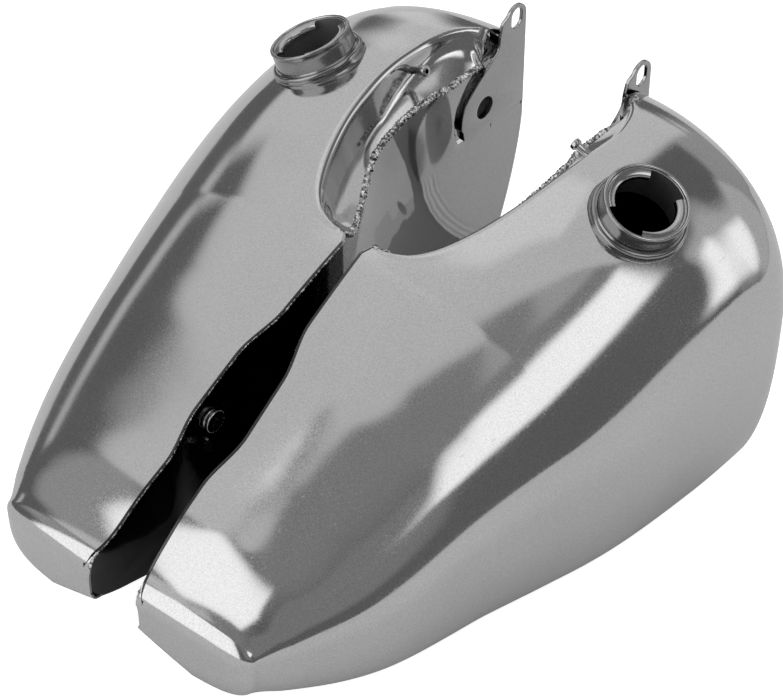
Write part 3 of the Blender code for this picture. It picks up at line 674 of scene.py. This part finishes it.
def outer_shell(label, side):
    """The skin and the floor pan in one sheet, with the hole for the filler neck."""
    rings = skin_rings()
    points = [point for ring in rings for point in ring]
    faces = grid_faces(len(rings), len(rings[0]))
    made = mesh_piece(label + "_skin", points, faces, side, smooth=50)
    thicken(made)
    apply_modifiers(made)
    cut(made, rod(NECK_RADIUS - 1, -30, 30, neck_frame(side)))
    made.data.shade_smooth()
    made.data.set_sharp_from_angle(angle=math.radians(50))
    # The stored tone is painted shade on the recess's rolled side and a painted highlight on its floor.
    paint(made, "tone", recess_painted_shade)
    return settle(made, label, SHELL, "skin_steel", label + "_outer_shell", label + "_floor_pan")


def edge_line(index):
    """One edge of the skin, as (y, z) from the tail forward."""
    rings = skin_rings()
    return [(ring[index][1], ring[index][2]) for ring in rings if ring[index][1] > TAIL_Y + 1]


def read_line(line, y):
    return float(np.interp(y, [p[0] for p in line], [p[1] for p in line]))


def wall_painted_light(y, z):
    """Painted shade and reflection on the wall's steel, as a factor: 1 is bright; the gap is darkened as
    painted shade, and a band round the flat front as a painted dark reflection.

    The flat front and the sweep behind the band are bright as painted reflection. The sweep fades at its foot
    and has one dark spot, and the flat front is rippled beside the band, near its foot, all painted
    reflection.
    """
    # The narrow gap between the tanks is darkened as painted shade.
    if y < JUNCTION_Y:
        return 0.17 + 0.10 * ease((y + 30) / 20) + 0.06 * noise.noise(Vector((y / 25, z / 12, 1)))
    # A painted dark reflection band round the flat front; the front and the sweep behind it are lightened as
    # painted reflection.
    above, below = max(z - 195, 0), max(195 - z, 0)
    rim = 137 + 0.0003 * above**3 + 0.0048 * below**2
    rim += 1.2 * noise.noise(Vector((z / 14, 0, 3)))
    band = 128 - 0.0032 * (z - 165) ** 2 + 1.5 * noise.noise(Vector((z / 11, 2, 5)))
    foot = 158 + 16 * ease((80 - y) / 40) + 5 * noise.noise(Vector((y / 13, 7, 1)))
    flat = ease((y - rim) / 1.2 + 0.5)
    bright = 0.8 * ease((band - y) / 1.5 + 0.5) * ease((z - foot) / 1.5 + 0.5)
    blob = math.hypot((y - 109 - 0.55 * (176 - z)) / 3.4, (z - 172) / 9)
    bright *= ease((blob - 0.8) / 0.4)
    step = 172 + 3 * noise.noise(Vector((y / 6, 1, 9))) + 12 * ease((96 - y) / 6)
    bright *= 1 - 0.28 * ease((step - z) / 1.5 + 0.5) * ease((y - 62) / 3)
    tone = 0.26 + 0.74 * max(flat, bright)
    # Painted ripples of light and shade on the flat front beside the band.
    past = y - rim
    if 0 < past < 20 and z < 182:
        low = ease((182 - z) / 12) * ease((20 - past) / 6)
        drift = 1.3 * noise.noise(Vector((z / 30, past / 6, 4)))
        stripe = math.sin(past * (0.95 + 0.004 * (z - 100)) + drift + 1)
        tone *= 1 + 0.22 * low * stripe
    return tone


def paint(made, name, tone):
    """Stores tone(distance from the middle plane, y, z) on a mesh, for its material to read."""
    layer = made.data.attributes.new(name, "FLOAT", "POINT")
    spots = [v.co / MM for v in made.data.vertices]
    layer.data.foreach_set("value", [tone(abs(spot.x), spot.y, spot.z) for spot in spots])


def inner_wall(label, side):
    """The sheet that closes the skin, with the bolt hole and the dark well seen through it."""
    top, bottom = edge_line(0), edge_line(-1)
    stops = [TAIL_Y + 0.3 + TAIL_DEPTH * (i / 20) ** 2 for i in range(21)]
    stops += [*np.linspace(-253, -12, 78), *np.linspace(-10, 196, 190)]
    stops += [*np.linspace(198, NOSE_Y - 1, 30), NOSE_Y - 0.3]
    rows = 130
    points = []
    for y in stops:
        high, low = read_line(top, y) + 0.6, read_line(bottom, y) - 0.6
        for i in range(rows + 1):
            z = low + (high - low) * i / rows
            points.append((wall_x(y, z) + 0.05, y, z))
    made = mesh_piece(label + "_wall", points, grid_faces(len(stops), rows + 1), side, smooth=60)
    thicken(made)
    apply_modifiers(made)
    y, z, radius = BOLT_HOLE
    hollow = Matrix(((0, 0, 1), (1, 0, 0), (0, 1, 0))).to_4x4()
    hollow.translation = Vector((side * POCKET_X * MM, y * MM, z * MM))
    cut(made, rod(radius, -20, 20, hollow, 48))
    made.data.shade_smooth()
    made.data.set_sharp_from_angle(angle=math.radians(60))
    # The stored tone is painted shade in the gap and painted reflections on the pocket wall.
    paint(made, "tone", lambda x, y, z: wall_painted_light(y, z))
    outer = radius + 1
    profile = [(0.1, 14), (outer, 14), (outer, 3.6), (radius, 3.6), (radius, 13), (0.1, 13)]
    well = turned(label + "_bolt_well", profile, bolt_frame(side), 48)
    settle(well, label, INSIDE, "wall_steel")
    return settle(made, label, WALL, "wall_steel", label + "_inner_wall")


def bolt_frame(side):
    """The bolt hole's own frame, with its Z outwards from the bracket's face."""
    y, z, _ = BOLT_HOLE
    return frame_along((POCKET_X, y, z), (1, 0, 0), side)


def arc(centre, radius, start, end, steps):
    """Points round an arc, between two angles in degrees."""
    made = []
    for i in range(steps + 1):
        angle = math.radians(start + (end - start) * i / steps)
        made.append((centre[0] + radius * math.cos(angle), centre[1] + radius * math.sin(angle)))
    return made


def filler_flange(label, side):
    """The weld-in ring, with its rolled shoulder and the weld fillet that blends it into the skin."""
    r, top = FLANGE_RADIUS, FLANGE_TOP
    profile = [(NECK_RADIUS + 0.1, top + 1.2), (NECK_RADIUS + 1.2, top + 0.2)]
    profile += arc((r - 2.2, top - 2.0), 2.2, 80, 0, 6)
    profile += [(r, top - 4), (r - 0.2, 3.2), (r + 0.6, 1.0), (r + 2.2, -0.6), (r + 4.5, -1.6)]
    profile += [(r + 4.5, -5), (NECK_RADIUS + 0.1, -5)]

    def wobble(angle, radius, height):
        lump = 0.35 * noise.noise(Vector((5 * math.cos(angle), 5 * math.sin(angle), height * 0.2 + side * 7)))
        return (lump if radius > r - 1 else 0, 0)

    made = turned(label + "_flange", profile, neck_frame(side), wobble=wobble)
    # The flange takes the steel painted dark as shade, like the collar.
    return settle(made, label, NECK_PAINTED_DARK, "machined_steel", label + "_filler_flange")


def filler_collar(label, side):
    """The neck, in the steel painted dark as shade, with its bright rolled lip in the lighter machined steel
    and a dark lining.
    """
    top, r, bore = NECK_HEIGHT, NECK_RADIUS, NECK_BORE
    profile = arc((r - 1.3, top - 1.3), 1.3, 60, 0, 4)
    profile += [(r - 0.3, top - 3.0), (r - 0.5, top - 4.2), (r - 0.2, top - 7)]
    profile += [(r, -9), (bore + 0.5, -9), (bore + 0.5, top - 1.6), (r - 1.2, top - 1.6)]
    made = turned(label + "_collar", profile, neck_frame(side))
    edge = arc((r - 1.3, top - 1.3), 1.3, 180, 55, 8) + [(r - 1.3, top - 2.2)]
    lip = turned(label + "_collar_lip", edge, neck_frame(side))
    settle(lip, label, MACHINED, "machined_steel")
    sleeve = [(bore + 0.6, top - 1.4), (bore, top - 1.8), (bore, -9), (bore + 0.6, -9)]
    lining = turned(label + "_neck_lining", sleeve, neck_frame(side))
    settle(lining, label, INSIDE, "machined_steel")
    return settle(made, label, NECK_PAINTED_DARK, "machined_steel", label + "_filler_collar")


def bayonet_ring(label, side):
    """The notched lip inside the neck, pressed with a shallow groove."""
    top, inner, outer = NECK_HEIGHT - 1.7, 22.2, NECK_BORE + 0.3
    columns = [(outer, top), (outer - 0.7, top - 0.5), (outer - 1.5, top - 0.5), (outer - 2.2, top),
               (inner + 2.0, top - 0.3), (inner + 0.9, top - 0.8), (inner + 0.2, top - 1.8),
               (inner, top - 4.6), (inner + 0.9, top - 4.6), (inner + 1.3, top - 3.0), (outer, top - 2.6)]
    turn = neck_frame(side)
    points, faces, rows = [], [], []
    for centre in (0, 180):
        half = 57
        steps = 60
        for i in range(steps + 1):
            angle = math.radians(centre - half + 2 * half * i / steps)
            rows.append(len(points))
            for r, h in columns:
                spot = Vector((r * math.cos(angle) * MM, r * math.sin(angle) * MM, h * MM))
                points.append(tuple(turn @ spot))
        n = len(columns)
        first = rows[-1 - steps]
        for i in range(steps):
            for j in range(n):
                a, b = first + i * n + j, first + i * n + (j + 1) % n
                faces.append((a, b, b + n, a + n))
        faces.append(tuple(range(first, first + n)))
        last = first + steps * n
        faces.append(tuple(reversed(range(last, last + n))))
    mesh = bpy.data.meshes.new(label + "_ring")
    mesh.from_pydata(points, [], faces)
    shape = bmesh.new()
    shape.from_mesh(mesh)
    bmesh.ops.recalc_face_normals(shape, faces=shape.faces)
    shape.to_mesh(mesh)
    shape.free()
    mesh.shade_smooth()
    mesh.set_sharp_from_angle(angle=math.radians(35))
    return settle(link(label + "_ring", mesh), label, MACHINED, "machined_steel", label + "_bayonet_ring")


def vent_nipple(label, side):
    length = (Vector(NIPPLE_TIP) - Vector(NIPPLE_BASE)).length
    profile = [(1.9, length)] + arc((3.3, length - 1.2), 1.2, 90, 0, 4)
    profile += arc((3.3, length - 3.2), 1.2, 0, -70, 4)
    profile += [(3.1, length - 5.2), (3.0, 5.5), (3.4, 3.2), (4.6, 1.4), (7.0, -0.6), (7.0, -3), (1.9, -3)]
    made = turned(label + "_nipple", profile, nipple_frame(side), 40)
    return settle(made, label, MACHINED, "machined_steel", label + "_vent_nipple")


def extruded(name, outline, holes, low, high, side):
    """A plate in the YZ plane between two X positions, its edges rounded over."""
    curve = bpy.data.curves.new(name, "CURVE")
    curve.dimensions = "2D"
    curve.fill_mode = "BOTH"
    curve.extrude = (high - low) / 2 * MM - 0.0005
    curve.bevel_depth = 0.0005
    curve.bevel_resolution = 2
    curve.offset = -0.0005
    for loop in [outline, *holes]:
        spline = curve.splines.new("POLY")
        spline.points.add(len(loop) - 1)
        for point, (x, y) in zip(spline.points, loop):
            point.co = (x * MM, y * MM, 0, 1)
        spline.use_cyclic_u = True
    drawn = link(name, curve)
    bpy.context.view_layer.update()
    graph = bpy.context.evaluated_depsgraph_get()
    mesh = bpy.data.meshes.new_from_object(drawn.evaluated_get(graph))
    bpy.data.objects.remove(drawn)
    place = Matrix(((0, 0, 1), (1, 0, 0), (0, 1, 0))).to_4x4()
    place.translation = Vector((side * (low + high) / 2 * MM, 0, 0))
    mesh.transform(place)
    shape = bmesh.new()
    shape.from_mesh(mesh)
    bmesh.ops.remove_doubles(shape, verts=shape.verts, dist=0.000004)
    bmesh.ops.recalc_face_normals(shape, faces=shape.faces)
    shape.to_mesh(mesh)
    shape.free()
    mesh.shade_smooth()
    mesh.set_sharp_from_angle(angle=math.radians(50))
    return link(name, mesh)


def smooth_line(points, steps=6):
    """A Catmull-Rom line through points."""
    line = [Vector(p) for p in points]
    line = [line[0] * 2 - line[1], *line, line[-1] * 2 - line[-2]]
    made = []
    for a, b, c, d in zip(line, line[1:], line[2:], line[3:]):
        for i in range(steps):
            t = i / steps
            curve = (2 * a - 5 * b + 4 * c - d) * t * t + (3 * b - a - 3 * c + d) * t**3
            made.append(0.5 * (2 * b + (c - a) * t + curve))
    made.append(line[-2])
    return made


def front_bracket(label, side):
    """The bolted ear: a plate whose rear edge is bent back to the wall, with its slot and round hole."""
    rear = [(p.x, p.y) for p in smooth_line(BRACKET_REAR)]
    foot = [(191, 187), (194, 185.5), (NOSE_Y, 185.5), (NOSE_Y, 200)]
    outline = arc(EAR_CENTRE, EAR_RADIUS, 0, 150, 20) + rear + foot
    (hole_y, hole_z), (half_wide, half_tall) = EAR_CENTRE, EAR_SLOT
    reach = half_tall - half_wide
    slot = arc((hole_y, hole_z + reach), half_wide, 0, 180, 16)
    slot += arc((hole_y, hole_z - reach), half_wide, 180, 360, 16)
    y, z, radius = BOLT_HOLE
    bolt = arc((y, z), radius, 0, 352, 44)
    inner, outer = POCKET_X - 0.08, POCKET_X + BRACKET_THICK
    made = extruded(label + "_bracket", outline, [slot, bolt], inner, outer, side)
    line = smooth_line([p for p in BRACKET_REAR if p[1] < 265])
    points = []
    for i, outer in enumerate(line):
        along = (line[min(i + 1, len(line) - 1)] - line[max(i - 1, 0)]).normalized()
        inner = outer + Vector((-along.y, along.x)) * 2.2
        far = max(min(wall_x(*outer), wall_x(*inner)) + 0.4, POCKET_X + BRACKET_THICK + 0.2)
        start = POCKET_X + 0.7
        points += [(x, y, z) for x, (y, z) in ((start, outer), (far, outer), (far, inner), (start, inner))]
    faces = [(0, 1, 2, 3)]
    for i in range(len(line) - 1):
        for j in range(4):
            a, b = 4 * i + j, 4 * i + (j + 1) % 4
            faces.append((a, a + 4, b + 4, b))
    last = 4 * (len(line) - 1)
    faces.append((last + 3, last + 2, last + 1, last))
    flange = mesh_piece(label + "_bracket_flange", points, faces, side, smooth=40)
    settle(flange, label, PLATE, "wall_steel")
    return settle(made, label, PLATE, "wall_steel", label + "_front_bracket")


def bead(name, path, radius, side, lump, ripple, seed, segments=14):
    """A weld bead: a lumpy tube along a path, with the ripple of its puddles."""
    line = [Vector(p) for p in path]
    total = [0.0]
    for a, b in zip(line, line[1:]):
        total.append(total[-1] + (b - a).length)
    count = int(total[-1] / 0.8)
    at = np.linspace(0, total[-1], count)
    fine = np.stack([np.interp(at, total, [p[k] for p in line]) for k in range(3)], 1)
    points = []
    for i, (run, spot) in enumerate(zip(at, fine)):
        along = Vector(fine[min(i + 1, count - 1)] - fine[max(i - 1, 0)]).normalized()
        across = along.cross(Vector((0, 0, 1))).normalized()
        up = across.cross(along)
        wander = noise.noise(Vector((run / 9, seed, 0))) * lump
        size = radius * (1 + 0.35 * noise.noise(Vector((run / 6, seed, 5))))
        size += ripple * abs(math.sin(run * math.pi / 3.1 + 2 * noise.noise(Vector((run / 11, 3, seed)))))
        ends = min(run, total[-1] - run)
        size *= min(1, 0.3 + ends / 4)
        for j in range(segments):
            angle = 2 * math.pi * j / segments
            c, s = math.cos(angle), math.sin(angle)
            puff = 1 + 0.28 * noise.noise(Vector((run / 2.2, 1.4 * c, 1.4 * s + seed)))
            p = Vector(spot) + across * (wander + size * puff * c) + up * size * puff * s * 0.8
            points.append(tuple(p))
    faces = grid_faces(count, segments, wrap=True)
    faces.append(tuple(reversed(range(segments))))
    faces.append(tuple(range((count - 1) * segments, count * segments)))
    made = mesh_piece(name, points, faces, side, smooth=70)
    shape = bmesh.new()
    shape.from_mesh(made.data)
    bmesh.ops.recalc_face_normals(shape, faces=shape.faces)
    shape.to_mesh(made.data)
    shape.free()
    return made


def seam_weld(label, side):
    edge = [ring[0] for ring in skin_rings() if -4 < ring[0][1] < 222]
    path = [(x - 0.2, y, z - 0.6) for x, y, z in edge]
    made = bead(label + "_weld", path, 2.1, side, 1.3, 1.0, 2.0 + side)
    return settle(made, label, WELD, "weld_metal", label + "_seam_weld")


def gap_weld(label, side):
    """The welded edge that runs on down the narrow gap to the tail."""
    edge = [ring[0] for ring in skin_rings() if -264.5 < ring[0][1] < -3]
    path = [(x + 0.8, y, z - 1.2) for x, y, z in edge[::2]]
    made = bead(label + "_gap_weld", path, 1.1, side, 0.3, 0.35, 11.0 + side, 10)
    return settle(made, label, WELD, "weld_metal")


def rear_bung(label, side):
    profile = [(4, 5)] + arc((7.8, 3.8), 1.2, 90, 0, 5) + [(9, 2.4)] + arc((7.8, 2.2), 1.2, 0, -80, 4)
    profile += [(7.2, 1), (8.2, -0.6), (8.2, -12), (4, -12)]
    made = turned(label + "_bung", profile, bung_frame(side), 48)
    return settle(made, label, MACHINED, "machined_steel", label + "_rear_bung")


def keep_node(label, node, material):
    """A CAD solid whose shape stays, with a better material."""
    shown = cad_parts[f"{label}_{node}"]
    for slot in shown.material_slots:
        slot.material = material
    if not shown.material_slots:
        shown.data.materials.append(material)


for label, side in (("left", -1), ("right", 1)):
    outer_shell(label, side)
    inner_wall(label, side)
    filler_flange(label, side)
    filler_collar(label, side)
    bayonet_ring(label, side)
    vent_nipple(label, side)
    front_bracket(label, side)
    seam_weld(label, side)
    gap_weld(label, side)
    rear_bung(label, side)
    keep_node(label, "rear_tab", PLATE)
    keep_node(label, "crossover_spigot", MACHINED)
keep_node("left", "petcock_spigot", MACHINED)


# ---------------------------------------------------------------- camera, floor and light

AZIMUTH = math.radians(39.62)
ELEVATION = math.radians(42.12)
CAMERA_PLACE = (0.8886, -1.0400, 1.3725)  # metres
LENS = 115.72
FLOOR_VALUE = 0.55
FLOOR_GLOW = 0.85  # added for the camera only, so that the floor reads as white paper
SHEET_NORMAL = (-0.70, 0.71, 0.11)  # the way the sheet overhead lies from its straight edge
SHEET_LEVEL = 0.72

right = Vector((math.cos(AZIMUTH), math.sin(AZIMUTH), 0))
flat = math.cos(ELEVATION)
back = Vector((math.sin(AZIMUTH) * flat, -math.cos(AZIMUTH) * flat, math.sin(ELEVATION)))
lens = bpy.data.cameras.new("camera")
lens.sensor_width = 36
lens.lens = LENS
lens.clip_start = 0.05
lens.clip_end = 50
camera = bpy.data.objects.new("camera", lens)
turn = Matrix((right, back.cross(right), back)).transposed().to_4x4()
turn.translation = Vector(CAMERA_PLACE)
camera.matrix_world = turn
bpy.context.scene.collection.objects.link(camera)
bpy.context.scene.camera = camera
bpy.context.scene.view_settings.view_transform = "Standard"

floor_mesh = bpy.data.meshes.new("floor")
floor_mesh.from_pydata([(-7, -7, 0), (7, -7, 0), (7, 7, 0), (-7, 7, 0)], [], [(0, 1, 2, 3)])
floor = link("floor", floor_mesh)
floor.location.z = -0.0005
paper = bpy.data.materials.new("pale_floor")
paper.use_nodes = True
nodes, links = paper.node_tree.nodes, paper.node_tree.links
shader = nodes["Principled BSDF"]
shader.inputs["Base Color"].default_value = (FLOOR_VALUE, FLOOR_VALUE, FLOOR_VALUE, 1)
shader.inputs["Roughness"].default_value = 0.9
shader.inputs["Specular IOR Level"].default_value = 0.1
shader.inputs["Emission Color"].default_value = (1, 1, 1, 1)
seen = nodes.new("ShaderNodeLightPath").outputs["Is Camera Ray"]
links.new(remap(nodes, links, seen, 0, 1, 0.0, FLOOR_GLOW), shader.inputs["Emission Strength"])
floor_mesh.materials.append(paper)

world = bpy.data.worlds.new("studio")
bpy.context.scene.world = world
world.use_nodes = True
nodes, links = world.node_tree.nodes, world.node_tree.links
way = nodes.new("ShaderNodeTexCoord").outputs["Generated"]
apart = nodes.new("ShaderNodeSeparateXYZ")
links.new(way, apart.inputs["Vector"])
turn_angle = math_node(nodes, links, "ARCTAN2", apart.outputs["X"], apart.outputs["Y"])
lift = math_node(nodes, links, "ARCSINE", apart.outputs["Z"])


def softbox(centre, half, low, high, edge_side, edge_low, edge_high, strength, tilt=0.0, lean=0.0):
    """A soft panel of light in the sky, in degrees: bearing (from +Y towards +X), half width, elevations.

    Its lower edge drops by tilt for each degree across it, and it shifts sideways by lean for each degree
    up it.
    """
    off = math_node(nodes, links, "SUBTRACT", turn_angle, math.radians(centre))
    off = math_node(nodes, links, "WRAP", off, math.pi, -math.pi)
    over = math_node(nodes, links, "ADD", lift, math_node(nodes, links, "MULTIPLY", off, tilt))
    rise = math_node(nodes, links, "SUBTRACT", lift, math.radians((low + high) / 2))
    off = math_node(nodes, links, "ADD", off, math_node(nodes, links, "MULTIPLY", rise, lean))
    off = math_node(nodes, links, "ABSOLUTE", off)
    outside, inside = math.radians(half + edge_side), math.radians(max(half - edge_side, 0))
    across = remap(nodes, links, off, outside, inside, 0, 1, True)
    dark, lit = math.radians(low - edge_low), math.radians(low + edge_low)
    over = remap(nodes, links, over, dark, lit, 0, 1, True)
    beyond, within = math.radians(high + edge_high), math.radians(high - edge_high)
    under = remap(nodes, links, lift, beyond, within, 0, strength, True)
    both = math_node(nodes, links, "MULTIPLY", across, over)
    return math_node(nodes, links, "MULTIPLY", both, under)


# The base of the sky: dim at the horizon, a little brighter overhead.
sky = remap(nodes, links, lift, math.radians(45), math.radians(70), 0.16, 0.3, True)
# A wide sheet overhead, which ends along a straight edge that passes near the zenith.
facing = nodes.new("ShaderNodeVectorMath")
facing.operation = "DOT_PRODUCT"
links.new(way, facing.inputs[0])
facing.inputs[1].default_value = SHEET_NORMAL
sheet = remap(nodes, links, facing.outputs["Value"], -0.04, 0.04, 0, SHEET_LEVEL, True)
raised = remap(nodes, links, lift, math.radians(58), math.radians(66), 0, 1, True)
sky = math_node(nodes, links, "MAXIMUM", sky, math_node(nodes, links, "MULTIPLY", sheet, raised))
# The panels: bearing, half width, lower and upper elevation, soft edges (sides, lower, upper), strength,
# and for some the tilt and the lean.
PANELS = (
    (88, 28, 42, 65, 8, 3, 3, 1.5),
    (85, 35, 71, 95, 20, 4, 3, 0.5),
    (-46, 34, 16, 72, 3, 3, 3, 0.76),
    (-100, 33, 39, 72, 5, 3, 3, 0.74, 0.55),
    (-55, 38, 48, 84, 10, 12, 8, 0.95),
    (-87, 10, 12, 19, 3, 3, 3, 0.65),
    (-118, 14, 15, 52, 8, 12, 4, 0.42),
    (-159, 29, -5, 61, 3, 6, 3, 1.5),
    (47, 7, 4, 34, 5, 5, 5, 1.5, 0.0, 0.55),
    (30, 20, -5, 40, 6, 8, 5, 0.6),
    (0, 20, -5, 38, 8, 8, 5, 0.42),
    (130, 30, 15, 60, 10, 10, 5, 0.28),
    (-42, 6, -5, 26, 4, 6, 6, 0.85),
)
for panel in PANELS:
    sky = math_node(nodes, links, "MAXIMUM", sky, softbox(*panel))
background = nodes["Background"]
links.new(grey(nodes, links, sky), background.inputs["Color"])

sun = bpy.data.lights.new("floor_light", "SUN")
sun.energy = 1.9
sun.angle = math.radians(120)
lamp = bpy.data.objects.new("floor_light", sun)
lamp.visible_glossy = False
bpy.context.scene.collection.objects.link(lamp)
